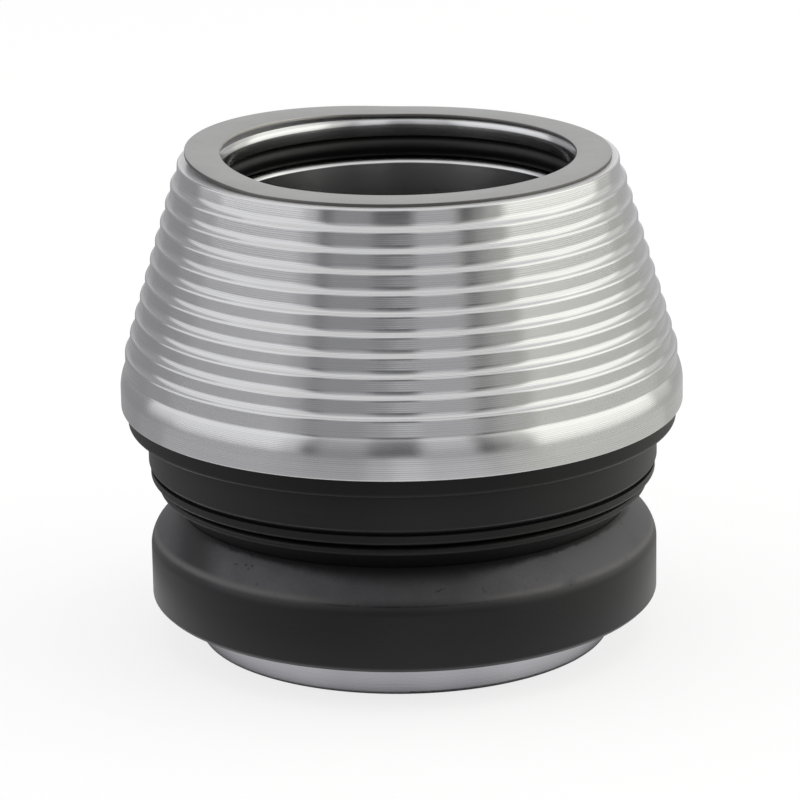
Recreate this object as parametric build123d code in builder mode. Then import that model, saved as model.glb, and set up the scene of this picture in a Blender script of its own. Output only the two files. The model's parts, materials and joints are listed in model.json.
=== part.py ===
from build123d import *

import os
from math import atan2, cos, degrees, radians, sin, tan

# An integrated bicycle headset, stacked in the order it goes on a fork: crown race, lower bearing,
# seal ring, upper bearing, compression ring, cover with its seal and O-ring, shim washer.
# Millimetres, +Z up along the steering axis, origin at the middle of the crown race's underside.

# Steerer and crown seat
steerer_diameter = 28.6
crown_seat_step = 0.7

# Cartridge bearings, the same for both ends
race_bore_clearance = 0.25
bearing_section = 5.65
bearing_height = 8.0
seat_chamfer = 2.5
race_land = 0.6
race_gap = 1.15
race_edge_chamfer = 0.4
ball_diameter = 3.175
ball_count = 24
ball_clearance = 0.15

# Ball cages
cage_thickness = 0.56
pocket_clearance = 0.1
cage_web = 0.3
cage_end_gap = 0.2

# Bearing face seals
face_seal_thickness = 0.5
face_seal_recess = 0.3
face_seal_gap = 0.15

# Crown race
crown_race_wall = 2.0
crown_race_tip = 0.4
crown_race_lift = 3.2
crown_race_round = 0.3

# Seal ring between the bearings
bearing_spacing = 1.3
seal_ring_land = 1.0
seal_ring_inset = 0.8
seal_ring_lip_rise = 0.15
seal_ring_lip_height = 0.6
seal_ring_lip_round = 0.25
seal_ring_wall = 0.4
seal_ring_top_inset = 0.15
seal_ring_top_rise = 1.23
seal_ring_top_gap = 0.35
seal_ring_top_round = 0.3

# Compression ring
compression_clearance = 0.05
compression_tip = 0.95
compression_wall = 2.65
compression_slot = 1.5

# Cover
cover_bore_clearance = 0.1
cover_height = 20.29
cover_top_wall = 3.52
cover_overhang = 2.1
cover_drop = 0.86
cover_headroom = 0.45
collar_height = 0.98
collar_round = 0.2
collar_step = 0.53
rib_count = 10
ledge_turn = 62.5
ledge_corner_share = 0.7
last_wall = 1.22
shoulder_height = 1.63
shoulder_step = 0.45
rim_height = 1.77
rim_round = 0.25
skirt_wall = 0.65
bore_chamfer = 0.32
bore_chamfer_height = 0.6

# O-ring in the cover's bore
o_ring_section = 1.78
o_ring_clearance = 0.03
groove_depth_below_top = 1.58
groove_side_gap = 0.135
groove_chamfer = 0.3

# Cover seal
cover_seal_gap = 0.15
cover_seal_inset = 0.5
cover_seal_drop = 1.55
cover_seal_round = 0.5

# Shim washer, bent up a little along one side
washer_clearance = 0.1
washer_width = 2.85
washer_thickness = 0.3
washer_bend_offset = 5.0
washer_bend_turn = -20.0
washer_bend_radius = 40.0
washer_bend_angle = 3.8

# How close two corners of a section are to count as one
drawing_tolerance = 0.001

# Sizes that follow from those above
steerer_radius = steerer_diameter / 2
crown_bore_radius = steerer_radius + crown_seat_step
race_bore_radius = crown_bore_radius + race_bore_clearance
bearing_radius = race_bore_radius + bearing_section
pitch_radius = race_bore_radius + bearing_section / 2
ball_radius = ball_diameter / 2
bearing_middle = bearing_height / 2

lower_bottom = crown_race_lift
lower_top = lower_bottom + bearing_height
upper_bottom = lower_top + bearing_spacing
upper_top = upper_bottom + bearing_height
cover_bottom = upper_top - cover_drop
cover_ceiling = upper_top + cover_headroom
cover_top = cover_bottom + cover_height

# The races' shoulders stand high on the loaded side and low on the other
seat_corner_outer = bearing_radius - seat_chamfer
seat_corner_inner = race_bore_radius + seat_chamfer
outer_high_shoulder = seat_corner_outer - race_land
inner_high_shoulder = seat_corner_inner + race_land
outer_low_shoulder = inner_high_shoulder + race_gap
inner_low_shoulder = outer_high_shoulder - race_gap
groove_radius = ball_radius + ball_clearance

pocket_radius = ball_radius + pocket_clearance
cage_end = face_seal_recess + face_seal_thickness + cage_end_gap
cage_turn = pocket_radius + cage_web

# Each bearing's section is drawn from its inner race's seat towards its outer race's seat
lower_section = Plane(origin=(0, 0, lower_bottom), x_dir=(1, 0, 0), z_dir=(0, -1, 0))
upper_section = Plane(origin=(0, 0, upper_top), x_dir=(1, 0, 0), z_dir=(0, 1, 0))
bearings = {
    "lower": (lower_section, lower_bottom + bearing_middle, ("bottom", "top")),
    "upper": (upper_section, upper_bottom + bearing_middle, ("top", "bottom")),
}

os.makedirs("parts", exist_ok=True)

# Bearings: two races, a caged ring of balls and two face seals each
for end, (section, ball_level, (inner_seat_side, outer_seat_side)) in bearings.items():
    with BuildPart() as outer_race:
        with BuildSketch(section):
            with BuildLine():
                Polyline(
                    (outer_low_shoulder, 0),
                    (bearing_radius - race_edge_chamfer, 0),
                    (bearing_radius, race_edge_chamfer),
                    (bearing_radius, bearing_height - seat_chamfer),
                    (seat_corner_outer, bearing_height),
                    (outer_high_shoulder, bearing_height),
                    (outer_high_shoulder, bearing_middle),
                    (outer_low_shoulder, bearing_middle),
                    close=True,
                )
            make_face()
            with Locations((pitch_radius, bearing_middle)):
                Circle(groove_radius, mode=Mode.SUBTRACT)
        revolve(axis=Axis.Z)
    outer_race.part.label = f"{end}_outer_race"
    export_step(outer_race.part, f"parts/{end}_outer_race.step")

    with BuildPart() as inner_race:
        with BuildSketch(section):
            with BuildLine():
                Polyline(
                    (inner_low_shoulder, bearing_height),
                    (race_bore_radius + race_edge_chamfer, bearing_height),
                    (race_bore_radius, bearing_height - race_edge_chamfer),
                    (race_bore_radius, seat_chamfer),
                    (seat_corner_inner, 0),
                    (inner_high_shoulder, 0),
                    (inner_high_shoulder, bearing_middle),
                    (inner_low_shoulder, bearing_middle),
                    close=True,
                )
            make_face()
            with Locations((pitch_radius, bearing_middle)):
                Circle(groove_radius, mode=Mode.SUBTRACT)
        revolve(axis=Axis.Z)
    inner_race.part.label = f"{end}_inner_race"
    export_step(inner_race.part, f"parts/{end}_inner_race.step")

    with BuildPart(Plane.XY.offset(ball_level)) as balls:
        with PolarLocations(pitch_radius, ball_count):
            Sphere(ball_radius)
    balls.part.label = f"{end}_balls"
    export_step(balls.part, f"parts/{end}_balls.step")

    # The cage runs slantwise between the high shoulders, with an upright rim at each end
    near_rim = (inner_high_shoulder + outer_low_shoulder) / 2
    far_rim = (inner_low_shoulder + outer_high_shoulder) / 2
    half_cage = cage_thickness / 2
    with BuildPart() as ball_cage:
        with BuildSketch(section):
            with BuildLine():
                Polyline(
                    (near_rim - half_cage, cage_end),
                    (near_rim + half_cage, cage_end),
                    (near_rim + half_cage, bearing_middle - cage_turn),
                    (far_rim + half_cage, bearing_middle + cage_turn),
                    (far_rim + half_cage, bearing_height - cage_end),
                    (far_rim - half_cage, bearing_height - cage_end),
                    (far_rim - half_cage, bearing_middle + cage_turn),
                    (near_rim - half_cage, bearing_middle - cage_turn),
                    close=True,
                )
            make_face()
        revolve(axis=Axis.Z)
        with Locations((0, 0, ball_level)):
            with PolarLocations(pitch_radius, ball_count):
                Sphere(pocket_radius, mode=Mode.SUBTRACT)
    ball_cage.part.label = f"{end}_ball_cage"
    export_step(ball_cage.part, f"parts/{end}_ball_cage.step")

    # Face seals sit in the outer race and stop just short of the inner race
    face_seal_level = face_seal_recess + face_seal_thickness / 2
    face_seals = {
        inner_seat_side: (inner_high_shoulder, outer_low_shoulder, face_seal_level),
        outer_seat_side: (inner_low_shoulder, outer_high_shoulder, bearing_height - face_seal_level),
    }
    for side, (inner_radius, outer_radius, level) in face_seals.items():
        lip_radius = inner_radius + face_seal_gap
        with BuildPart() as face_seal:
            with BuildSketch(section):
                with Locations(((lip_radius + outer_radius) / 2, level)):
                    Rectangle(outer_radius - lip_radius, face_seal_thickness)
            revolve(axis=Axis.Z)
        face_seal.part.label = f"{end}_{side}_seal"
        export_step(face_seal.part, f"parts/{end}_{side}_seal.step")

# Crown race: a plain collar with a 45 degree cone that fills the lower inner race's seat
crown_race_radius = crown_bore_radius + crown_race_wall
crown_tip_radius = crown_bore_radius + crown_race_tip
crown_cone_bottom = lower_bottom + seat_corner_inner - crown_race_radius
crown_cone_top = lower_bottom + seat_corner_inner - crown_tip_radius
with BuildPart() as crown_race:
    with BuildSketch(Plane.XZ):
        with BuildLine():
            Polyline(
                (crown_bore_radius, 0),
                (crown_race_radius, 0),
                (crown_race_radius, crown_cone_bottom),
                (crown_tip_radius, crown_cone_top),
                (crown_bore_radius, crown_cone_top),
                close=True,
            )
        make_face()
    revolve(axis=Axis.Z)
    bottom_edges = crown_race.edges().group_by(Axis.Z)[0]
    fillet(bottom_edges.sort_by(SortBy.RADIUS)[-1], crown_race_round)
crown_race.part.label = "crown_race"
export_step(crown_race.part, "parts/crown_race.step")

# Seal ring: flat on the lower outer race and turned up along the upper bearing's seat, with two lips
seal_ring_radius = bearing_radius - seal_ring_inset
seal_ring_bore = seat_corner_outer - seal_ring_land
lip_bottom = upper_bottom + seal_ring_lip_rise
lip_top = lip_bottom + seal_ring_lip_height
top_lip_radius = bearing_radius - seal_ring_top_inset
top_lip_bottom = upper_bottom + seal_ring_top_rise
top_lip_land = top_lip_radius - seal_ring_top_gap
top_lip_top = upper_bottom + top_lip_land - seat_corner_outer
neck_radius = seat_corner_outer + seal_ring_wall - upper_bottom
with BuildPart() as seal_ring:
    with BuildSketch(Plane.XZ) as ring_section:
        with BuildLine():
            Polyline(
                (seal_ring_bore, lower_top),
                (seat_corner_outer, lower_top),
                (seal_ring_radius - seal_ring_wall, lip_bottom),
                (seal_ring_radius, lip_bottom),
                (seal_ring_radius, lip_top),
                (neck_radius + lip_top, lip_top),
                (neck_radius + top_lip_bottom, top_lip_bottom),
                (top_lip_radius, top_lip_bottom),
                (top_lip_radius, top_lip_top),
                (top_lip_land, top_lip_top),
                (seat_corner_outer, upper_bottom),
                (seal_ring_bore, upper_bottom),
                close=True,
            )
        make_face()
        corners = ring_section.vertices()
        lip_corners = [corner for corner in corners if abs(corner.X - seal_ring_radius) < drawing_tolerance]
        fillet(lip_corners, seal_ring_lip_round)
        top_lip_corners = ring_section.vertices().group_by(Axis.X)[-1]
        fillet(top_lip_corners.sort_by(Axis.Y)[0], seal_ring_top_round)
    revolve(axis=Axis.Z)
seal_ring.part.label = "seal_ring"
export_step(seal_ring.part, "parts/seal_ring.step")

# Compression ring: split, its cone fills the upper inner race's seat and the cover bears on its top
compression_bore = steerer_radius + compression_clearance
compression_tip_radius = compression_bore + compression_tip
compression_radius = compression_bore + compression_wall
compression_bottom = upper_top - seat_corner_inner + compression_tip_radius
compression_shoulder = upper_top - seat_corner_inner + compression_radius
with BuildPart() as compression_ring:
    with BuildSketch(Plane.XZ):
        with BuildLine():
            Polyline(
                (compression_bore, compression_bottom),
                (compression_tip_radius, compression_bottom),
                (compression_radius, compression_shoulder),
                (compression_radius, cover_ceiling),
                (compression_bore, cover_ceiling),
                close=True,
            )
        make_face()
    revolve(axis=Axis.Z)
    with BuildSketch(Plane.XY.offset(compression_bottom)):
        with Locations((0, compression_radius / 2)):
            Rectangle(compression_slot, compression_radius)
    extrude(until=Until.LAST, mode=Mode.SUBTRACT)
compression_ring.part.label = "compression_ring"
export_step(compression_ring.part, "parts/compression_ring.step")

# Cover: a cone turned in steps, each a soft inside corner and a smaller rounded edge
cover_bore_radius = steerer_radius + cover_bore_clearance
collar_radius = cover_bore_radius + cover_top_wall
rim_radius = bearing_radius + cover_overhang
recess_radius = rim_radius - skirt_wall
rib_step = (rim_radius - shoulder_step - collar_radius - collar_step) / (rib_count - 1)
ledge_slope = 1 / tan(radians(ledge_turn / 2))
first_ledge = collar_height + collar_step * ledge_slope
ribbed_height = cover_height - first_ledge - last_wall - shoulder_height - rim_height
rib_wall = ribbed_height / (rib_count - 1) - rib_step * ledge_slope

# The shoulder's arc leaves the last wall at this slope and ends upright at the rim
shoulder_slope = 2 * degrees(atan2(shoulder_step, shoulder_height))
shoulder_radius = shoulder_height / sin(radians(shoulder_slope))

o_ring_inner = steerer_radius + o_ring_clearance
groove_wall_radius = o_ring_inner + o_ring_section
groove_top = cover_top - groove_depth_below_top
groove_bottom = groove_top - o_ring_section - 2 * groove_side_gap
with BuildPart() as top_cover:
    with BuildSketch(Plane.XZ):
        with BuildLine():
            Line((collar_radius - collar_round, cover_top), (cover_bore_radius + bore_chamfer, cover_top))
            top_edge = JernArc((collar_radius - collar_round, cover_top), (1, 0), collar_round, -90)
            last = Line(top_edge @ 1, (collar_radius, cover_top - collar_height))
            for rib in range(rib_count):
                step = collar_step if rib == 0 else rib_step
                wall = last_wall if rib == rib_count - 1 else rib_wall
                ledge_radius = step / (1 - cos(radians(ledge_turn)))
                corner_radius = ledge_radius * ledge_corner_share
                corner = JernArc(last @ 1, (0, -1), corner_radius, ledge_turn)
                edge = JernArc(corner @ 1, corner % 1, ledge_radius - corner_radius, -ledge_turn)
                last = Line(edge @ 1, edge @ 1 - (0, wall))
            slope = (sin(radians(shoulder_slope)), -cos(radians(shoulder_slope)))
            shoulder = JernArc(last @ 1, slope, shoulder_radius, -shoulder_slope)
            Line(shoulder @ 1, (rim_radius, cover_bottom + rim_round))
            JernArc((rim_radius, cover_bottom + rim_round), (0, -1), rim_round, -90)
            Polyline(
                (rim_radius - rim_round, cover_bottom),
                (recess_radius, cover_bottom),
                (recess_radius, cover_ceiling),
                (cover_bore_radius, cover_ceiling),
                (cover_bore_radius, groove_bottom - groove_chamfer),
                (cover_bore_radius + groove_chamfer, groove_bottom),
                (groove_wall_radius, groove_bottom),
                (groove_wall_radius, groove_top),
                (cover_bore_radius, groove_top),
                (cover_bore_radius, cover_top - bore_chamfer_height),
                (cover_bore_radius + bore_chamfer, cover_top),
            )
        make_face()
    revolve(axis=Axis.Z)
top_cover.part.label = "top_cover"
export_step(top_cover.part, "parts/top_cover.step")

# O-ring that grips the steerer, against the outer wall of its groove
with BuildPart(Plane.XY.offset((groove_top + groove_bottom) / 2)) as cover_o_ring:
    Torus(o_ring_inner + o_ring_section / 2, o_ring_section / 2)
cover_o_ring.part.label = "cover_o_ring"
export_step(cover_o_ring.part, "parts/cover_o_ring.step")

# Cover seal: held in the rim's recess, its lip flaring a little as it hangs round the upper bearing
cover_seal_bore = bearing_radius + cover_seal_gap
cover_seal_radius = rim_radius - cover_seal_inset
cover_seal_bottom = cover_bottom - cover_seal_drop
with BuildPart() as cover_seal:
    with BuildSketch(Plane.XZ) as seal_section:
        with BuildLine():
            Polyline(
                (cover_seal_radius, cover_seal_bottom),
                (cover_seal_bore, cover_seal_bottom),
                (cover_seal_bore, cover_ceiling),
                (recess_radius, cover_ceiling),
                (recess_radius, cover_bottom),
                close=True,
            )
        make_face()
        lip_corners = seal_section.vertices().group_by(Axis.Y)[0]
        fillet(lip_corners.sort_by(Axis.X)[-1], cover_seal_round)
    revolve(axis=Axis.Z)
cover_seal.part.label = "cover_seal"
export_step(cover_seal.part, "parts/cover_seal.step")

# Shim washer: flat on the cover, with one side bent up a little
washer_bore_radius = steerer_radius + washer_clearance
washer_radius = washer_bore_radius + washer_width
turn = radians(washer_bend_turn)
bend_plane = Plane(
    origin=(0, 0, cover_top),
    x_dir=(cos(turn), sin(turn), 0),
    z_dir=(sin(turn), -cos(turn), 0),
)
with BuildPart() as shim_washer:
    with BuildSketch(Plane.XY.offset(cover_top)):
        Circle(washer_radius)
        Circle(washer_bore_radius, mode=Mode.SUBTRACT)
    extrude(amount=washer_radius * sin(radians(washer_bend_angle)) + washer_thickness)
    with BuildSketch(bend_plane):
        with BuildLine():
            flat_under = Line((2 * washer_radius, 0), (-washer_bend_offset, 0))
            bent_under = JernArc(flat_under @ 1, (-1, 0), washer_bend_radius, -washer_bend_angle)
            flap_under = Line(bent_under @ 1, bent_under @ 1 + (bent_under % 1) * washer_radius)
            flat_over = Line((2 * washer_radius, washer_thickness), (-washer_bend_offset, washer_thickness))
            inner_bend_radius = washer_bend_radius - washer_thickness
            bent_over = JernArc(flat_over @ 1, (-1, 0), inner_bend_radius, -washer_bend_angle)
            flap_over = Line(bent_over @ 1, bent_over @ 1 + (bent_over % 1) * washer_radius)
            Line(flap_under @ 1, flap_over @ 1)
            Line(flat_under @ 0, flat_over @ 0)
        make_face()
    extrude(amount=2 * washer_radius, both=True, mode=Mode.INTERSECT)
shim_washer.part.label = "shim_washer"
export_step(shim_washer.part, "parts/shim_washer.step")
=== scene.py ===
import json
from math import cos, pi, radians, sin, sqrt, tan

import bmesh
import bpy
from mathutils import Matrix, Vector


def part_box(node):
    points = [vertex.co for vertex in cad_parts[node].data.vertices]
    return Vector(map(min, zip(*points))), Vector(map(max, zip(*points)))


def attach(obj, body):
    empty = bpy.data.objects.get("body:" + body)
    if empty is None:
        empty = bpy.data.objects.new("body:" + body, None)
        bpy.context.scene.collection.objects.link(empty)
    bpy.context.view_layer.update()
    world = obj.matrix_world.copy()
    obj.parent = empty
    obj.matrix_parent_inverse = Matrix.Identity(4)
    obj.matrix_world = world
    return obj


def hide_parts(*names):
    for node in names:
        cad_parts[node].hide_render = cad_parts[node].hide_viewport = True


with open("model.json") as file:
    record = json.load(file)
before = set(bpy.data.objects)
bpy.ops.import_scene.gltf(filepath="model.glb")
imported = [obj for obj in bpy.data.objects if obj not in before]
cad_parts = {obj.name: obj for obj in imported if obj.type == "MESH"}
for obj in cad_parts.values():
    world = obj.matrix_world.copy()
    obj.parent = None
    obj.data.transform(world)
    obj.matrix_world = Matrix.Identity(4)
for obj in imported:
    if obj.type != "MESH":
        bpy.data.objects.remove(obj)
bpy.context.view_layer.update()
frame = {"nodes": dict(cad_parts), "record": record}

# A bicycle headset: turned aluminium cover with a shim washer, rubber seals, two black bearings
# and a crown race. Metres, in the frame of the solids, +Z up along the steering axis.

mm = 0.001

# How finely the rings are turned
TURN_STEPS = 256
SHARP_ANGLE = radians(32)
MERGE_DISTANCE = 0.0005 * mm


def reach(node):
    """Outside radius of a node of the frame."""
    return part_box(node)[1].x


def foot(node):
    """Lowest level of a node of the frame."""
    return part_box(node)[0].z


def head(node):
    """Highest level of a node of the frame."""
    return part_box(node)[1].z


# Sections and turning

def wire_section(corners, closed=True):
    """A wire through (radius, level) corners, and its corner points."""
    shape = bmesh.new()
    points = [shape.verts.new((radius, 0, level)) for radius, level in corners]
    following = points[1:] + points[:1] if closed else points[1:]
    for here, there in zip(points, following):
        shape.edges.new((here, there))
    return shape, points


def round_corners(shape, points, radius, segments):
    """Rounds some corner points of a wire section."""
    bmesh.ops.bevel(
        shape,
        geom=points,
        offset=radius,
        offset_type="OFFSET",
        segments=segments,
        profile=0.5,
        affect="VERTICES",
        material=-1,
    )


def turn_section(shape):
    """Spins a wire section about the steering axis into a closed ring."""
    bmesh.ops.remove_doubles(shape, verts=shape.verts[:], dist=MERGE_DISTANCE)
    bmesh.ops.spin(
        shape,
        geom=shape.verts[:] + shape.edges[:],
        cent=(0, 0, 0),
        axis=(0, 0, 1),
        angle=2 * pi,
        steps=TURN_STEPS,
        use_merge=True,
    )
    bmesh.ops.remove_doubles(shape, verts=shape.verts[:], dist=MERGE_DISTANCE)
    bmesh.ops.recalc_face_normals(shape, faces=shape.faces[:])


def make_object(shape, name, material):
    """Puts a shape in the scene as an object with one material."""
    mesh = bpy.data.meshes.new(name)
    shape.to_mesh(mesh)
    shape.free()
    mesh.materials.append(material)
    thing = bpy.data.objects.new(name, mesh)
    bpy.context.scene.collection.objects.link(thing)
    return thing


def make_piece(shape, name, node, body, slot):
    """Makes a shape the piece that stands for a node, riding on a body."""
    piece = make_object(shape, name, finishes[slot])
    piece.data.shade_smooth()
    piece.data.set_sharp_from_angle(angle=SHARP_ANGLE)
    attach(piece, body)
    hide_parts(node)


# Shader building

def feed(tree, socket, value):
    """Links a socket to another node's output, or sets it to a plain value."""
    if isinstance(value, bpy.types.NodeSocket):
        tree.links.new(value, socket)
    else:
        socket.default_value = value


def calc(tree, operation, *terms, clamp=False):
    """Output of a Math node."""
    step = tree.nodes.new("ShaderNodeMath")
    step.operation = operation
    step.use_clamp = clamp
    for socket, term in zip(step.inputs, terms):
        feed(tree, socket, term)
    return step.outputs[0]


def remap(tree, value, low, high, new_low=0.0, new_high=1.0):
    """Value eased from one range to another, and held at its ends."""
    step = tree.nodes.new("ShaderNodeMapRange")
    step.interpolation_type = "SMOOTHSTEP"
    for label, term in zip(("Value", "From Min", "From Max", "To Min", "To Max"),
                           (value, low, high, new_low, new_high)):
        feed(tree, step.inputs[label], term)
    return step.outputs["Result"]


def mix_colour(tree, share, first, second):
    """Colour between two colours."""
    step = tree.nodes.new("ShaderNodeMix")
    step.data_type = "RGBA"
    feed(tree, step.inputs["Factor"], share)
    for socket, colour in zip((step.inputs[6], step.inputs[7]), (first, second)):
        feed(tree, socket, colour)
    return step.outputs[2]


def weigh(tree, first, first_share, second, second_share):
    """Two values added up, each times its share."""
    first_part = calc(tree, "MULTIPLY", first, first_share)
    second_part = calc(tree, "MULTIPLY", second, second_share)
    return calc(tree, "ADD", first_part, second_part)


def split(tree, vector):
    """The three parts of a vector."""
    parts = tree.nodes.new("ShaderNodeSeparateXYZ")
    tree.links.new(vector, parts.inputs[0])
    return parts.outputs


def object_place(tree):
    """Object coordinates."""
    return tree.nodes.new("ShaderNodeTexCoord").outputs["Object"]


def outwards(tree, place):
    """Distance from the steering axis."""
    across, along, _ = split(tree, place)
    squares = calc(tree, "ADD", calc(tree, "POWER", across, 2), calc(tree, "POWER", along, 2))
    return calc(tree, "SQRT", squares)


def upwards(tree, place):
    """Level along the steering axis."""
    return split(tree, place)[2]


def sideways(tree, place):
    """Signed distance across the headset, from its left side to its right."""
    return split(tree, place)[0]


def facing_up(tree, normal="True Normal"):
    """How far a face looks up: 1 where it lies flat, 0 on walls and -1 on undersides."""
    return split(tree, tree.nodes.new("ShaderNodeNewGeometry").outputs[normal])[2]


def upright(tree):
    """1 on walls that stand along the axis, 0 on faces that lie across it."""
    return remap(tree, calc(tree, "ABSOLUTE", facing_up(tree)), 0.2, 0.5, 1.0, 0.0)


def noise(tree, place, scale, detail=2.0, rough=0.5, flat=False):
    """Value of a noise texture, along one line or in space."""
    step = tree.nodes.new("ShaderNodeTexNoise")
    step.noise_dimensions = "1D" if flat else "3D"
    feed(tree, step.inputs["W" if flat else "Vector"], place)
    feed(tree, step.inputs["Scale"], scale)
    step.inputs["Detail"].default_value = detail
    step.inputs["Roughness"].default_value = rough
    return step.outputs[0]


def bump(tree, height, distance):
    """Normal roughened by a height."""
    step = tree.nodes.new("ShaderNodeBump")
    step.inputs["Strength"].default_value = 1.0
    step.inputs["Distance"].default_value = distance
    feed(tree, step.inputs["Height"], height)
    return step.outputs["Normal"]


# Effects that several finishes share

def new_group(name, inputs, output):
    """An empty shader group with value inputs and one value output."""
    group = bpy.data.node_groups.new(name, "ShaderNodeTree")
    for label, default in inputs.items():
        socket = group.interface.new_socket(label, in_out="INPUT", socket_type="NodeSocketFloat")
        socket.default_value = default
    group.interface.new_socket(output, in_out="OUTPUT", socket_type="NodeSocketFloat")
    return group, group.nodes.new("NodeGroupInput").outputs, group.nodes.new("NodeGroupOutput").inputs


def use_group(tree, group, **values):
    """Output of a shader group placed in a material."""
    step = tree.nodes.new("ShaderNodeGroup")
    step.node_tree = group
    for label, value in values.items():
        feed(tree, step.inputs[label], value)
    return step.outputs[0]


def lathe_lines_group():
    """Fine rings left by the turning tool, which follow a stepped section from top to bottom."""
    group, given, result = new_group("lathe_lines", {"Pitch": 0.18 * mm}, "Lines")
    place = object_place(group)
    way = calc(group, "SUBTRACT", upwards(group, place), outwards(group, place))
    path = calc(group, "DIVIDE", way, given["Pitch"])
    rings = calc(group, "MULTIPLY", calc(group, "SINE", calc(group, "MULTIPLY", path, 2 * pi)), 0.22)
    fine = noise(group, path, 1.0, detail=1.0, flat=True)
    broad = noise(group, path, 0.17, flat=True)
    lines = weigh(group, fine, 0.6, broad, 0.3)
    feed(group, result["Lines"], remap(group, calc(group, "ADD", lines, rings), 0.15, 0.75))
    return group


def dust_and_sheen_veil_group():
    """Dust on faces that look up: a thin, nearly even veil with a fine grain in it; on the lower bearing
    seat its cover also carries painted sheen.
    """
    group, given, result = new_group("dust_and_sheen_veil", {"Grain": 0.12 * mm, "Cover": 0.5}, "Veil")
    place = object_place(group)
    lying = remap(group, facing_up(group, "Normal"), 0.15, 0.75)
    scale = calc(group, "DIVIDE", 1.0, given["Grain"])
    grains = remap(group, noise(group, place, scale, detail=3.0), 0.3, 0.7, 0.82, 1.0)
    cloud_scale = calc(group, "MULTIPLY", scale, 0.04)
    clouds = remap(group, noise(group, place, cloud_scale, detail=3.0), 0.3, 0.7, 0.75, 1.0)
    veil = calc(group, "MULTIPLY", clouds, grains)
    dust_and_sheen = calc(group, "MULTIPLY", calc(group, "MULTIPLY", veil, lying), given["Cover"], clamp=True)
    feed(group, result["Veil"], dust_and_sheen)
    return group


def edge_band_group():
    """A band along a ring's edge at one level, in broken patches: used for edge wear, painted highlights
    and a painted dark reflection.
    """
    inputs = {"Level": 0.0, "Width": 0.2 * mm, "Patches": 0.5}
    group, given, result = new_group("edge_band", inputs, "Band")
    place = object_place(group)
    away = calc(group, "ABSOLUTE", calc(group, "SUBTRACT", upwards(group, place), given["Level"]))
    near = calc(group, "SUBTRACT", 1.0, remap(group, away, 0.0, given["Width"]))
    patches = noise(group, place, 220.0, detail=4.0, rough=0.6)
    low = calc(group, "SUBTRACT", 1.0, given["Patches"])
    broken = remap(group, patches, calc(group, "SUBTRACT", low, 0.12), calc(group, "ADD", low, 0.12))
    feed(group, result["Band"], calc(group, "MULTIPLY", near, broken))
    return group


lathe_lines = lathe_lines_group()
dust_and_sheen_veil = dust_and_sheen_veil_group()
edge_band = edge_band_group()


# Finishes

def new_material(name):
    """A material with its shader ready to be fed."""
    material = bpy.data.materials.new(name)
    material.use_nodes = True
    tree = material.node_tree
    return material, tree, tree.nodes["Principled BSDF"].inputs


# Painted shade on the wall of the bore: darker than the rest, most of all below the O-ring's groove
BORE_WALL = (14.41 * mm, 14.44 * mm)
GROOVE_SIDE_GAP = 0.135 * mm
groove_levels = (foot("cover_o_ring") - GROOVE_SIDE_GAP, head("cover_o_ring") + GROOVE_SIDE_GAP)

# The cover's flat top, which is dull: how far it faces up, how deep it reaches and how metallic it is
TOP_FACING = (0.92, 0.98)
TOP_DEPTHS = (0.1 * mm, 0.02 * mm)
TOP_METALLIC = 0.1
top_levels = [head("top_cover") - depth for depth in TOP_DEPTHS]


def turned_metal(name, dark, light, roughness, pitch, depth, anisotropy=0.8, bore_shade=(1.0, 1.0)):
    """Bright metal straight from the lathe: its fine rings smear reflections along the axis."""
    material, tree, shader = new_material(name)
    lines = use_group(tree, lathe_lines, Pitch=pitch)
    place = object_place(tree)
    level = upwards(tree, place)
    # Painted shade inside the bore, darkening its wall
    in_bore = remap(tree, outwards(tree, place), *BORE_WALL, 1.0, 0.0)
    inside = calc(tree, "MULTIPLY", in_bore, upright(tree))
    shade = remap(tree, inside, 0.0, 1.0, 1.0, remap(tree, level, *groove_levels, *bore_shade))
    stain = noise(tree, place, 160.0, detail=4.0)
    tone = weigh(tree, lines, 0.75, stain, 0.25)
    bright = mix_colour(tree, tone, (*dark, 1), (*light, 1))
    feed(tree, shader["Base Color"], mix_colour(tree, shade, (0, 0, 0, 1), bright))
    feed(tree, shader["Roughness"], remap(tree, tone, 0.2, 0.8, roughness + 0.03, roughness - 0.03))
    feed(tree, shader["Normal"], bump(tree, lines, depth))
    lying = remap(tree, facing_up(tree), *TOP_FACING)
    flat_top = calc(tree, "MULTIPLY", lying, remap(tree, level, *top_levels))
    feed(tree, shader["Metallic"], remap(tree, flat_top, 0.0, 1.0, 1.0, TOP_METALLIC))
    shader["Anisotropic"].default_value = anisotropy
    shader["Anisotropic Rotation"].default_value = 0.25
    round_the_axis = tree.nodes.new("ShaderNodeTangent")
    round_the_axis.direction_type = "RADIAL"
    round_the_axis.axis = "Z"
    tree.links.new(round_the_axis.outputs[0], shader["Tangent"])
    return material


# Where the shim's inner and outer edges part, and where its bent side ends, which bound the painted light
# on its inner edge
SHIM_MIDDLE = (15.0 * mm, 16.5 * mm)
SHIM_BENT_SIDE = (-9.0 * mm, -3.0 * mm)

# The shim's rolled grain: which way it runs, and how far it is drawn out
SHIM_GRAIN_TURN = radians(35)
SHIM_GRAIN_STRETCH = (0.08, 1.0, 1.0)


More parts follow.
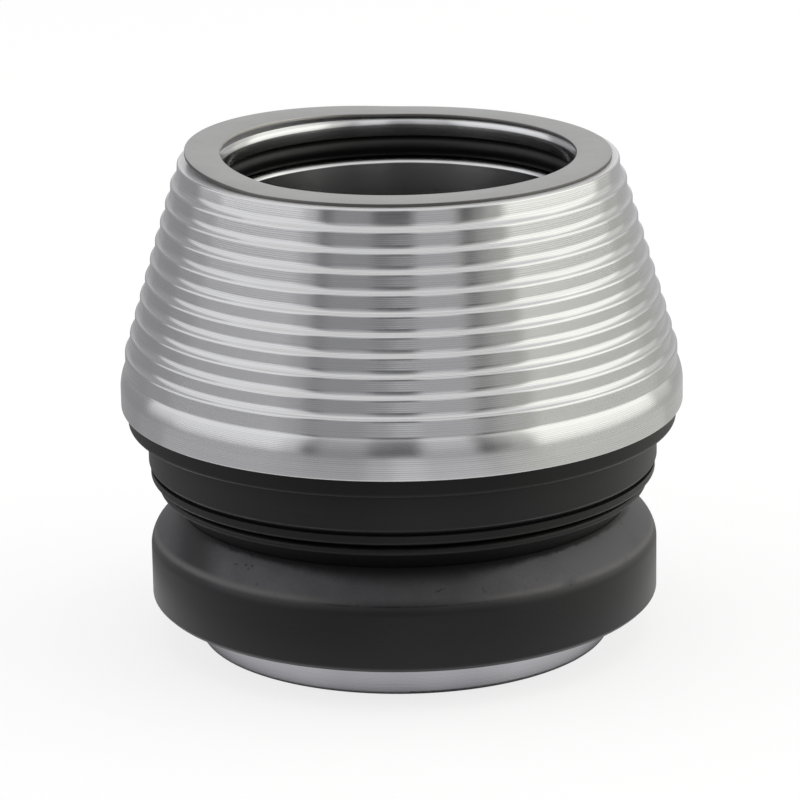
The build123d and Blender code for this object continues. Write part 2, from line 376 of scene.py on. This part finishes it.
def shim_steel():
    """Thin rolled steel: satin, with a fine straight grain, and dark where it is cut.

    The inner edge carries painted light: pale on the bent side, fading to a quarter of that on the other
    side.
    """
    material, tree, shader = new_material("shim_steel")
    place = object_place(tree)
    grain_way = tree.nodes.new("ShaderNodeMapping")
    grain_way.inputs["Rotation"].default_value = (0, 0, SHIM_GRAIN_TURN)
    grain_way.inputs["Scale"].default_value = SHIM_GRAIN_STRETCH
    tree.links.new(place, grain_way.inputs["Vector"])
    grain = noise(tree, grain_way.outputs[0], 9000.0, detail=3.0)
    cloud = noise(tree, place, 260.0, detail=4.0)
    tone = weigh(tree, grain, 0.6, cloud, 0.4)
    face = mix_colour(tree, tone, (0.33, 0.33, 0.326, 1), (0.41, 0.41, 0.405, 1))
    cut = upright(tree)
    # Painted light on the inner edge, strongest on the bent side
    bent_side = remap(tree, sideways(tree, place), *SHIM_BENT_SIDE, 1.0, 0.25)
    inner_edge = remap(tree, outwards(tree, place), *SHIM_MIDDLE, 1.0, 0.0)
    pale_painted_light = calc(tree, "MULTIPLY", bent_side, inner_edge)
    edge = mix_colour(tree, pale_painted_light, (0.16, 0.155, 0.15, 1), (0.62, 0.60, 0.57, 1))
    feed(tree, shader["Base Color"], mix_colour(tree, cut, face, edge))
    feed(tree, shader["Roughness"], remap(tree, tone, 0.2, 0.8, 0.52, 0.42))
    feed(tree, shader["Normal"], bump(tree, grain, 0.002 * mm))
    feed(tree, shader["Metallic"], remap(tree, calc(tree, "MULTIPLY", cut, pale_painted_light), 0.0, 1.0, 1.0, 0.35))
    return material


# Bearing sizes, from the frame where it holds them
SEAT_CHAMFER = 2.5 * mm
RACE_EDGE_CHAMFER = 0.4 * mm
BALL_CLEARANCE = 0.15 * mm
bearing_radius = reach("lower_outer_race")
bearing_height = head("lower_outer_race") - foot("lower_outer_race")
high_shoulder = reach("lower_top_seal")
low_shoulder = reach("lower_bottom_seal")
ball_radius = (head("lower_balls") - foot("lower_balls")) / 2
ball_pitch = reach("lower_balls") - ball_radius
lower_top = head("lower_outer_race")
lower_edge_level = lower_top - SEAT_CHAMFER
upper_edge_level = foot("upper_outer_race") + SEAT_CHAMFER

# Dust and painted sheen on the lower bearing's seat: thin in front, thick at the sides and thickest on the
# right, held off under the seal ring by a painted shadow with a ragged edge. A painted dark reflection
# lies on the left.
# A lip lighter with wear and a painted highlight runs along the seat's lower edge at the sides, with a
# painted dark reflection along that edge in front, and the upper seat's edge has a thin line of wear and
# painted highlight at the sides
FRONT_TO_SIDES = (2.0 * mm, 12.0 * mm)
SHEEN_HAZE_FRONT = 0.56
SHEEN_HAZE_LEFT_RIGHT = (0.95, 1.35)
RING_SHADOW_DEPTH = (1.3 * mm, 0.3 * mm)
RING_SHADOW_RAGGED = 0.35 * mm
DARK_REFLECTION_PLACE = -16.9 * mm
DARK_REFLECTION_REACH = (0.4 * mm, 2.8 * mm)
LIP_RISE = 0.2 * mm
LIP_WIDTH = 0.4 * mm
UPPER_EDGE_LIGHT_WIDTH = 0.06 * mm
DARK_EDGE_WIDTH = 0.14 * mm


def seat_sheen_haze(tree, place):
    """How thickly dust and painted sheen lie on the lower seat, below a painted shadow with a ragged edge
    under the seal ring.
    """
    across = sideways(tree, place)
    aside = calc(tree, "ABSOLUTE", across)
    ragged = calc(tree, "MULTIPLY", noise(tree, place, 1500.0, detail=4.0, rough=0.65), RING_SHADOW_RAGGED)
    # Painted shadow under the seal ring, reaching deepest in front
    ring_shadow_end = calc(tree, "ADD", remap(tree, aside, *FRONT_TO_SIDES, *RING_SHADOW_DEPTH), ragged)
    below = calc(tree, "SUBTRACT", lower_top, upwards(tree, place))
    at_sides = remap(tree, across, *FRONT_TO_SIDES, *SHEEN_HAZE_LEFT_RIGHT)
    thick = remap(tree, aside, *FRONT_TO_SIDES, SHEEN_HAZE_FRONT, at_sides)
    sheen_haze = calc(tree, "MULTIPLY", remap(tree, below, ragged, ring_shadow_end), thick)
    # Painted dark reflection on the left of the seat
    from_dark_reflection = calc(tree, "ABSOLUTE", calc(tree, "SUBTRACT", across, DARK_REFLECTION_PLACE))
    dark_reflection = remap(tree, from_dark_reflection, *DARK_REFLECTION_REACH)
    pits = remap(tree, noise(tree, place, 1900.0, detail=1.0), 0.71, 0.76, 1.0, 0.4)
    return calc(tree, "MULTIPLY", calc(tree, "MULTIPLY", sheen_haze, dark_reflection), pits)


def black_race():
    """Blackened bearing steel: satin, with dust, painted sheen and a painted shadow on the lower seat,
    edges lighter at the sides with wear and painted highlights, and a painted dark reflection on the lower
    edge in front.
    """
    material, tree, shader = new_material("black_race")
    place = object_place(tree)
    aside = calc(tree, "ABSOLUTE", sideways(tree, place))
    lines = use_group(tree, lathe_lines, Pitch=0.25 * mm)
    black = mix_colour(tree, lines, (0.0085, 0.0082, 0.0093, 1), (0.0105, 0.0101, 0.0114, 1))
    dust_and_sheen = use_group(tree, dust_and_sheen_veil, Grain=0.13 * mm, Cover=seat_sheen_haze(tree, place))
    dusty_and_sheened = mix_colour(tree, dust_and_sheen, black, (0.099, 0.0975, 0.104, 1))
    # Wear and painted highlights on the seat edges, at the sides only
    low_lip_wear_and_highlight = use_group(tree, edge_band, Level=lower_edge_level + LIP_RISE, Width=LIP_WIDTH, Patches=0.6)
    high_edge_wear_and_highlight = use_group(tree, edge_band, Level=upper_edge_level, Width=UPPER_EDGE_LIGHT_WIDTH, Patches=0.5)
    wear_and_highlights = calc(tree, "MAXIMUM", low_lip_wear_and_highlight, high_edge_wear_and_highlight)
    side_wear_and_highlight = calc(tree, "MULTIPLY", wear_and_highlights, remap(tree, aside, *FRONT_TO_SIDES, 0.0, 0.75))
    worn_and_highlit = mix_colour(tree, side_wear_and_highlight, dusty_and_sheened, (0.13, 0.128, 0.122, 1))
    # Painted dark reflection along the lower seat edge in front
    front_edge_band = use_group(tree, edge_band, Level=lower_edge_level, Width=DARK_EDGE_WIDTH, Patches=0.5)
    dark_front_edge = calc(tree, "MULTIPLY", front_edge_band, remap(tree, aside, *FRONT_TO_SIDES, 0.9, 0.0))
    feed(tree, shader["Base Color"], mix_colour(tree, dark_front_edge, worn_and_highlit, (0.003, 0.003, 0.003, 1)))
    feed(tree, shader["Roughness"], remap(tree, dust_and_sheen, 0.0, 1.0, 0.40, 0.58))
    feed(tree, shader["Normal"], bump(tree, lines, 0.0006 * mm))
    shader["Specular IOR Level"].default_value = 0.3
    return material


def seal_rubber():
    """Moulded black rubber with a faint skin and a little dust."""
    material, tree, shader = new_material("seal_rubber")
    skin = noise(tree, object_place(tree), 5200.0, detail=4.0)
    dust_and_sheen = use_group(tree, dust_and_sheen_veil, Grain=0.1 * mm, Cover=0.35)
    black = mix_colour(tree, skin, (0.003, 0.003, 0.0032, 1), (0.0055, 0.0055, 0.0057, 1))
    feed(tree, shader["Base Color"], mix_colour(tree, dust_and_sheen, black, (0.04, 0.039, 0.036, 1)))
    feed(tree, shader["Roughness"], remap(tree, skin, 0.3, 0.7, 0.36, 0.46))
    feed(tree, shader["Normal"], bump(tree, skin, 0.002 * mm))
    shader["Specular IOR Level"].default_value = 0.28
    return material


def ball_steel():
    """Polished bearing balls with a trace of grease."""
    material, tree, shader = new_material("ball_steel")
    film = noise(tree, object_place(tree), 700.0, detail=3.0)
    feed(tree, shader["Base Color"], mix_colour(tree, film, (0.5, 0.5, 0.5, 1), (0.62, 0.62, 0.63, 1)))
    feed(tree, shader["Roughness"], remap(tree, film, 0.3, 0.7, 0.08, 0.2))
    shader["Metallic"].default_value = 1.0
    return material


def cage_plastic():
    """Moulded cage of tan nylon."""
    material, tree, shader = new_material("cage_plastic")
    grain = noise(tree, object_place(tree), 1800.0, detail=4.0)
    feed(tree, shader["Base Color"], mix_colour(tree, grain, (0.28, 0.23, 0.15, 1), (0.38, 0.32, 0.23, 1)))
    feed(tree, shader["Roughness"], remap(tree, grain, 0.3, 0.7, 0.45, 0.6))
    feed(tree, shader["Normal"], bump(tree, grain, 0.004 * mm))
    return material


# The finish of each material slot
finishes = {
    "cover_metal": turned_metal(
        "cover_metal",
        dark=(0.55, 0.55, 0.553),
        light=(0.65, 0.65, 0.654),
        roughness=0.21,
        pitch=0.17 * mm,
        depth=0.0012 * mm,
        anisotropy=0.88,
        bore_shade=(0.55, 0.85),
    ),
    "crown_race_metal": turned_metal(
        "crown_race_metal",
        dark=(0.455, 0.45, 0.482),
        light=(0.54, 0.535, 0.572),
        roughness=0.34,
        pitch=0.12 * mm,
        depth=0.002 * mm,
    ),
    "ring_metal": turned_metal(
        "ring_metal",
        dark=(0.34, 0.34, 0.345),
        light=(0.44, 0.44, 0.445),
        roughness=0.36,
        pitch=0.16 * mm,
        depth=0.003 * mm,
    ),
    "shim_steel": shim_steel(),
    "black_race": black_race(),
    "ball_steel": ball_steel(),
    "cage_plastic": cage_plastic(),
    "seal_rubber": seal_rubber(),
}
for subpart in frame["record"]["subparts"]:
    frame["nodes"][subpart["node"]].material_slots[0].material = finishes[subpart["material_slot"]]


# Cover: a cone turned in steps, with an O-ring groove in its bore
RIB_COUNT = 10
COLLAR_RADIUS = 17.92 * mm
COLLAR_HEIGHT = 0.98 * mm
COLLAR_ROUND = 0.2 * mm
COLLAR_TAPER = 0.06 * mm
COLLAR_STEP = 0.53 * mm
LAST_WALL = 1.22 * mm
SHOULDER_HEIGHT = 1.63 * mm
SHOULDER_STEP = 0.45 * mm
SHOULDER_CORNER = 0.09 * mm
RIM_HEIGHT = 1.77 * mm
RIM_ROUND = 0.25 * mm
SKIRT_WALL = 0.65 * mm
COVER_BORE = 14.4 * mm
BORE_CHAMFER = 0.32 * mm
BORE_CHAMFER_HEIGHT = 0.6 * mm
GROOVE_CHAMFER = 0.3 * mm
EDGE_BREAK = 0.05 * mm
LEDGE_TURN = radians(62.5)
LEDGE_CORNER_SHARE = 0.7


def cover_shape():
    """Collar, ribs, shoulder and rim outside; hollow, O-ring groove and bore inside."""
    top, bottom, rim = head("top_cover"), foot("top_cover"), reach("top_cover")
    ceiling = head("compression_ring")
    groove_bottom, groove_top = groove_levels
    groove_wall = reach("cover_o_ring")
    shoulder_top = bottom + RIM_HEIGHT + SHOULDER_HEIGHT
    ledge_slope = 1 / tan(LEDGE_TURN / 2)
    ribs_top = top - COLLAR_HEIGHT - COLLAR_STEP * ledge_slope
    rib_step = (rim - SHOULDER_STEP - COLLAR_RADIUS - COLLAR_STEP) / (RIB_COUNT - 1)
    rib_wall = (ribs_top - shoulder_top - LAST_WALL) / (RIB_COUNT - 1) - rib_step * ledge_slope
    corners = [(COLLAR_RADIUS - COLLAR_TAPER, top)]
    wall, wall_foot = COLLAR_RADIUS, top - COLLAR_HEIGHT
    for rib in range(RIB_COUNT):
        step = rib_step if rib else COLLAR_STEP
        ledge = wall_foot - step / sin(LEDGE_TURN) * LEDGE_CORNER_SHARE
        corners += [(wall, ledge), (wall + step, ledge - step / tan(LEDGE_TURN))]
        wall += step
        wall_foot -= step * ledge_slope + rib_wall
    slope_run = (SHOULDER_HEIGHT**2 - SHOULDER_STEP**2) / (2 * SHOULDER_HEIGHT)
    corners += [
        (rim - SHOULDER_STEP, shoulder_top),
        (rim, shoulder_top - slope_run),
        (rim, bottom),
        (rim - SKIRT_WALL, bottom),
        (rim - SKIRT_WALL, ceiling),
        (COVER_BORE, ceiling),
        (COVER_BORE, groove_bottom - GROOVE_CHAMFER),
        (COVER_BORE + GROOVE_CHAMFER, groove_bottom),
        (groove_wall, groove_bottom),
        (groove_wall, groove_top),
        (COVER_BORE, groove_top),
        (COVER_BORE, top - BORE_CHAMFER_HEIGHT),
        (COVER_BORE + BORE_CHAMFER, top),
    ]
    shape, points = wire_section(corners)
    collar_edge, *others = points
    ledges, others = others[:2 * RIB_COUNT], others[2 * RIB_COUNT:]
    shoulder_corner, shoulder_slope, rim_corner, skirt_corner, _, *bore_corners = others
    round_corners(shape, [collar_edge], COLLAR_ROUND, segments=5)
    for step, corner_pairs in ((COLLAR_STEP, ledges[:2]), (rib_step, ledges[2:])):
        slope = step / sin(LEDGE_TURN)
        round_corners(shape, corner_pairs[::2], slope * LEDGE_CORNER_SHARE, segments=8)
        round_corners(shape, corner_pairs[1::2], slope * (1 - LEDGE_CORNER_SHARE), segments=8)
    round_corners(shape, [shoulder_corner], SHOULDER_CORNER, segments=4)
    round_corners(shape, [shoulder_slope], SHOULDER_HEIGHT - slope_run, segments=10)
    round_corners(shape, [rim_corner], RIM_ROUND, segments=5)
    round_corners(shape, [skirt_corner, *bore_corners], EDGE_BREAK, segments=2)
    turn_section(shape)
    return shape


make_piece(cover_shape(), "stepped_cover", "top_cover", "cover_side", "cover_metal")


# Cover seal: held in the rim's recess, its lip flaring a little as it hangs round the upper bearing
SEAL_GAP = 0.15 * mm
SEAL_INSET = 0.5 * mm
SEAL_ROUND = 0.45 * mm
SEAL_LIP_ROUND = 0.08 * mm


def cover_seal_shape():
    """A ring whose outer wall slants out from the recess to a rounded lip."""
    top, bottom, outside = head("cover_seal"), foot("cover_seal"), reach("top_cover") - SEAL_INSET
    rim_bottom, recess = foot("top_cover"), reach("top_cover") - SKIRT_WALL
    bore = bearing_radius + SEAL_GAP
    shape, (outer_lip, inner_lip, *_) = wire_section([
        (outside, bottom),
        (bore, bottom),
        (bore, top),
        (recess, top),
        (recess, rim_bottom),
    ])
    round_corners(shape, [outer_lip], SEAL_ROUND, segments=8)
    round_corners(shape, [inner_lip], SEAL_LIP_ROUND, segments=4)
    turn_section(shape)
    return shape


make_piece(cover_seal_shape(), "cover_lip_seal", "cover_seal", "cover_side", "seal_rubber")


# Outer races: the upper one is the lower one turned over
RACE_EDGE_ROUND = 0.12 * mm
LOWER_SEAT_ROUND = 0.9 * mm
UPPER_SEAT_ROUND = 0.12 * mm
GROOVE_STEPS = 14


def outer_race_shape(flipped, foot_level, seat_round):
    """A race with its slanted seat outside, and the balls' groove between its two shoulders."""
    middle = bearing_height / 2
    groove_radius = ball_radius + BALL_CLEARANCE
    groove_low = middle - sqrt(groove_radius**2 - (low_shoulder - ball_pitch) ** 2)
    groove_high = middle + sqrt(groove_radius**2 - (high_shoulder - ball_pitch) ** 2)
    shape, points = wire_section([
        (low_shoulder, groove_low),
        (low_shoulder, 0),
        (bearing_radius - RACE_EDGE_CHAMFER, 0),
        (bearing_radius, RACE_EDGE_CHAMFER),
        (bearing_radius, bearing_height - SEAT_CHAMFER),
        (bearing_radius - SEAT_CHAMFER, bearing_height),
        (high_shoulder, bearing_height),
        (high_shoulder, groove_high),
    ], closed=False)
    centre = Vector((ball_pitch, 0, middle))
    arc = (points[-1].co - centre).angle(points[0].co - centre)
    bmesh.ops.spin(shape, geom=points[-1:], cent=centre, axis=(0, 1, 0), angle=arc, steps=GROOVE_STEPS)
    bmesh.ops.remove_doubles(shape, verts=shape.verts[:], dist=MERGE_DISTANCE)
    round_corners(shape, points[1:4] + points[5:7], RACE_EDGE_ROUND, segments=4)
    round_corners(shape, points[4:5], seat_round, segments=10)
    if flipped:
        bmesh.ops.scale(shape, vec=(1, 1, -1), verts=shape.verts[:])
        bmesh.ops.translate(shape, vec=(0, 0, bearing_height), verts=shape.verts[:])
    bmesh.ops.translate(shape, vec=(0, 0, foot_level), verts=shape.verts[:])
    turn_section(shape)
    return shape


for end, flipped, seat_round in (("lower", False, LOWER_SEAT_ROUND), ("upper", True, UPPER_SEAT_ROUND)):
    race = outer_race_shape(flipped, foot(f"{end}_outer_race"), seat_round)
    make_piece(race, f"{end}_bearing_shell", f"{end}_outer_race", "frame_side", "black_race")


# Shim washer: flat on the cover, with one side bent up a little
SHIM_THICKNESS = 0.3 * mm
SHIM_BORE = 14.4 * mm
SHIM_EDGE_ROUND = 0.06 * mm
SHIM_BEND_OFFSET = 5.0 * mm
SHIM_BEND_TURN = radians(-20)
SHIM_BEND_RADIUS = 40.0 * mm
SHIM_BEND_ANGLE = radians(3.8)


def shim_lift(past_bend, above):
    """How far the bend lifts a point that lies so far past the bend line and above the underside."""
    radius = SHIM_BEND_RADIUS - above
    arc_reach = radius * sin(SHIM_BEND_ANGLE)
    if past_bend <= 0:
        return 0
    if past_bend < arc_reach:
        return radius - sqrt(radius**2 - past_bend**2)
    return radius * (1 - cos(SHIM_BEND_ANGLE)) + (past_bend - arc_reach) * tan(SHIM_BEND_ANGLE)


def shim_shape():
    """A flat ring, its left side lifted along a shallow bend."""
    bottom, outside = foot("shim_washer"), reach("shim_washer")
    shape, points = wire_section([
        (SHIM_BORE, bottom),
        (outside, bottom),
        (outside, bottom + SHIM_THICKNESS),
        (SHIM_BORE, bottom + SHIM_THICKNESS),
    ])
    round_corners(shape, points, SHIM_EDGE_ROUND, segments=3)
    turn_section(shape)
    bend_way = Matrix.Rotation(SHIM_BEND_TURN, 3, "Z") @ Vector((-1, 0, 0))
    for point in shape.verts:
        point.co.z += shim_lift(point.co.dot(bend_way) - SHIM_BEND_OFFSET, point.co.z - bottom)
    return shape


make_piece(shim_shape(), "bent_shim", "shim_washer", "cover_side", "shim_steel")


# Camera, at the photograph's angle
CAMERA_PLACE = Vector((0.0, -320 * mm, 115.0 * mm))
CAMERA_AIM = Vector((-0.16 * mm, 0, 19.4 * mm))
CAMERA_ROLL = radians(-0.9)
CAMERA_LENS = 183.0


def aimed(place, aim):
    """The transform that puts a camera or a lamp at a place and turns it to its aim."""
    turn = (aim - place).to_track_quat("-Z", "Y").to_matrix().to_4x4()
    return Matrix.Translation(place) @ turn


camera = bpy.data.objects.new("camera", bpy.data.cameras.new("camera"))
camera.data.lens = CAMERA_LENS
camera.data.sensor_width = 36
camera.data.clip_start = 0.01
camera.data.clip_end = 20
camera.matrix_world = aimed(CAMERA_PLACE, CAMERA_AIM) @ Matrix.Rotation(CAMERA_ROLL, 4, "Z")
bpy.context.scene.collection.objects.link(camera)
bpy.context.scene.camera = camera
bpy.context.scene.view_settings.view_transform = "Standard"


# Studio: white floor and surroundings, a soft lamp at each side and one above
AMBIENT = 0.54
FLOOR_REACH = 3.0
FLOOR_DROP = 0.02 * mm
FLOOR_COLOUR = 0.28
FLOOR_GLOW = 0.76
FAR_FLOOR = (0.29, 0.44)
CONTACT_SHADE = (16.9 * mm, 20.0 * mm)


def background_share(tree):
    """1 on rays that show the background itself: seen, mirrored or through glass."""
    rays = tree.nodes.new("ShaderNodeLightPath").outputs
    mirrored = calc(tree, "MAXIMUM", rays["Is Glossy Ray"], rays["Is Transmission Ray"])
    return calc(tree, "MAXIMUM", rays["Is Camera Ray"], mirrored)


world = bpy.data.worlds.new("studio")
bpy.context.scene.world = world
world.use_nodes = True
sky = world.node_tree.nodes["Background"].inputs
sky["Color"].default_value = (1, 1, 1, 1)
sky_level = remap(world.node_tree, background_share(world.node_tree), 0.0, 1.0, AMBIENT, 1.0)
feed(world.node_tree, sky["Strength"], sky_level)


def floor_material():
    """A matt floor that shows as white, keeps the shadow, and with a painted contact shade mirrors as dark
    under the headset.
    """
    material, tree, shader = new_material("studio_floor")
    shader["Base Color"].default_value = (FLOOR_COLOUR, FLOOR_COLOUR, FLOOR_COLOUR, 1)
    shader["Roughness"].default_value = 0.9
    shader["Specular IOR Level"].default_value = 0.0
    shader["Emission Color"].default_value = (1, 1, 1, 1)
    radius = outwards(tree, object_place(tree))
    seen = tree.nodes.new("ShaderNodeLightPath").outputs["Is Camera Ray"]
    lit = calc(tree, "MAXIMUM", remap(tree, radius, *CONTACT_SHADE), seen)
    glow = calc(tree, "MULTIPLY", background_share(tree), lit)
    strength = calc(tree, "MULTIPLY", glow, remap(tree, radius, *FAR_FLOOR, FLOOR_GLOW, 1.0))
    feed(tree, shader["Emission Strength"], strength)
    return material


floor_sheet = bmesh.new()
bmesh.ops.create_grid(floor_sheet, x_segments=1, y_segments=1, size=FLOOR_REACH)
bmesh.ops.translate(floor_sheet, vec=(0, 0, -FLOOR_DROP), verts=floor_sheet.verts[:])
make_object(floor_sheet, "studio_floor", floor_material())

# Surround that only the metal mirrors, as upright streaks: the table, the floor and a wall all round.
# Its section in radius and level, then the grey of each stretch of it, from the headset outwards and
# up, sector by sector in degrees round from the front
SURROUND_SECTION = (
    (30 * mm, 0.3 * mm),
    (105 * mm, 0.3 * mm),
    (130 * mm, 0.3 * mm),
    (150 * mm, 0.3 * mm),
    (230 * mm, 0.3 * mm),
    (450 * mm, 0.3 * mm),
    (450 * mm, 25 * mm),
    (450 * mm, 100 * mm),
    (450 * mm, 330 * mm),
    (450 * mm, 530 * mm),
)
SURROUND_GREYS = (
    (-180, -165, (0.40, 0.40, 0.40, 0.40, 0.45, 0.60, 0.90)),
    (-165, -150, (0.40, 0.40, 0.40, 0.40, 0.42, 0.46, 0.54, 0.62)),
    (-150, -120, (0.38, 0.34, 0.34, 0.36, 0.38, 0.38, 0.40, 0.45, 0.60)),
    (-120, -100, (0.44, 0.31, 0.29, 0.40, 0.62, 0.66, 1.00, 1.08, 1.10)),
    (-100, -48, (0.56, 0.33, 0.26, 0.33, 1.22, 0.82, 1.06, 1.12, 1.15)),
    (-48, -40, (0.54, 0.32, 0.26, 0.31, 0.84, 0.58, 0.72, 0.90, 1.00)),
    (-40, -33, (0.54, 0.38, 0.32, 0.29, 0.24, 0.10, 0.08, 0.34, 0.62)),
    (-33, -13, (0.53, 0.31, 0.25, 0.34, 0.42, 0.33, 0.33, 0.50, 0.66)),
    (-13, -4, (0.66, 0.58, 0.54, 0.32, 0.07, 0.09, 0.10, 0.28, 0.45)),
    (-4, 7, (0.80, 0.88, 0.86, 0.44, 0.05, 0.05, 0.06, 0.22, 0.45)),
    (7, 29, (0.70, 0.43, 0.36, 0.43, 0.62, 0.51, 0.51, 0.72, 0.90)),
    (29, 36, (0.65, 0.44, 0.38, 0.30, 0.14, 0.05, 0.04, 0.24, 0.54)),
    (36, 43, (0.70, 0.56, 0.48, 0.46, 0.40, 0.24, 0.22, 0.50, 0.80)),
    (43, 53, (0.70, 0.52, 0.45, 0.44, 0.54, 0.48, 0.54, 0.74, 0.95)),
    (53, 118, (0.74, 0.53, 0.43, 0.49, 1.62, 1.20, 1.48, 1.56, 1.60)),
    (118, 135, (0.59, 0.50, 0.46, 0.56, 0.78, 0.76, 0.86, 0.90, 0.95)),
    (135, 150, (0.60, 0.55, 0.52, 0.52, 0.54, 0.54, 0.58, 0.66, 0.75)),
    (150, 165, (0.54, 0.52, 0.50, 0.50, 0.54, 0.56, 0.64, 0.76)),
    (165, 180, (0.52, 0.50, 0.50, 0.50, 0.60, 0.75, 0.95)),
)

# In degrees: where the front lies, a facet's width, and how far each sector blends into the next
FRONT = -90
SURROUND_FACET = 4
SECTOR_BLEND = 2.5

# The surround's tint, cool to the left and warm to the right
TINT_TURN = (0.3, 0.85)
COOL_TINT = (0.975, 0.975, 1.0, 1)
WARM_TINT = (1.0, 1.0, 0.945, 1)


def surround_strip(shape, tone, span, greys, next_greys, steps):
    """One upright strip of the surround, its greys blending from one side to the other."""
    start, end = (radians(FRONT + angle) for angle in span)
    turn = Matrix.Rotation(start, 3, "Z")
    stretches = zip(SURROUND_SECTION, SURROUND_SECTION[1:])
    for stretch, grey, next_grey in zip(stretches, greys, next_greys):
        side = [shape.verts.new(turn @ Vector((radius, 0, level))) for radius, level in stretch]
        for point in side:
            point[tone] = grey
        swept = bmesh.ops.spin(
            shape,
            geom=side + [shape.edges.new(side)],
            cent=(0, 0, 0),
            axis=(0, 0, 1),
            angle=end - start,
            steps=steps,
        )
        for point in swept["geom_last"]:
            if isinstance(point, bmesh.types.BMVert):
                point[tone] = next_grey


def surround_shape():
    """All sectors of the surround, each with the blend to its neighbour."""
    shape = bmesh.new()
    tone = shape.verts.layers.float.new("grey")
    next_sectors = SURROUND_GREYS[1:] + SURROUND_GREYS[:1]
    for (start, end, greys), (_, _, next_greys) in zip(SURROUND_GREYS, next_sectors):
        steps = max(1, (end - start) // SURROUND_FACET)
        surround_strip(shape, tone, (start + SECTOR_BLEND, end - SECTOR_BLEND), greys, greys, steps)
        surround_strip(shape, tone, (end - SECTOR_BLEND, end + SECTOR_BLEND), greys, next_greys, 1)
    return shape


def surround_material():
    """Glows in the surround's own greys, with its tint."""
    material, tree, shader = new_material("studio_surround")
    shader["Base Color"].default_value = (0, 0, 0, 1)
    shader["Specular IOR Level"].default_value = 0.0
    grey = tree.nodes.new("ShaderNodeAttribute")
    grey.attribute_name = "grey"
    place = object_place(tree)
    turn = calc(tree, "DIVIDE", sideways(tree, place), outwards(tree, place))
    tint = mix_colour(tree, remap(tree, turn, *TINT_TURN), COOL_TINT, WARM_TINT)
    feed(tree, shader["Emission Color"], tint)
    feed(tree, shader["Emission Strength"], grey.outputs["Fac"])
    return material


surround = make_object(surround_shape(), "studio_surround", surround_material())
surround.visible_camera = False
surround.visible_diffuse = False
surround.visible_transmission = False
surround.visible_shadow = False

# Lamps: place, width, height, brightness and tint, each turned to the middle of the headset
LAMPS = {
    "right_softbox": ((0.50, 0.0, 0.24), 0.74, 0.46, 1.27, (1.0, 0.985, 0.91)),
    "left_softbox": ((-0.50, -0.04, 0.24), 1.00, 0.46, 0.75, (0.985, 0.98, 1.0)),
    "top_softbox": ((0.05, 0.05, 0.60), 0.50, 0.50, 0.8, (0.97, 0.975, 1.0)),
}
LAMP_AIM = Vector((0, 0, 20 * mm))

for name, (place, width, height, brightness, tint) in LAMPS.items():
    lamp = bpy.data.lights.new(name, "AREA")
    lamp.shape = "RECTANGLE"
    lamp.size = width
    lamp.size_y = height
    lamp.energy = brightness * pi * width * height
    lamp.color = tint
    light = bpy.data.objects.new(name, lamp)
    light.matrix_world = aimed(Vector(place), LAMP_AIM)
    light.visible_glossy = False
    bpy.context.scene.collection.objects.link(light)
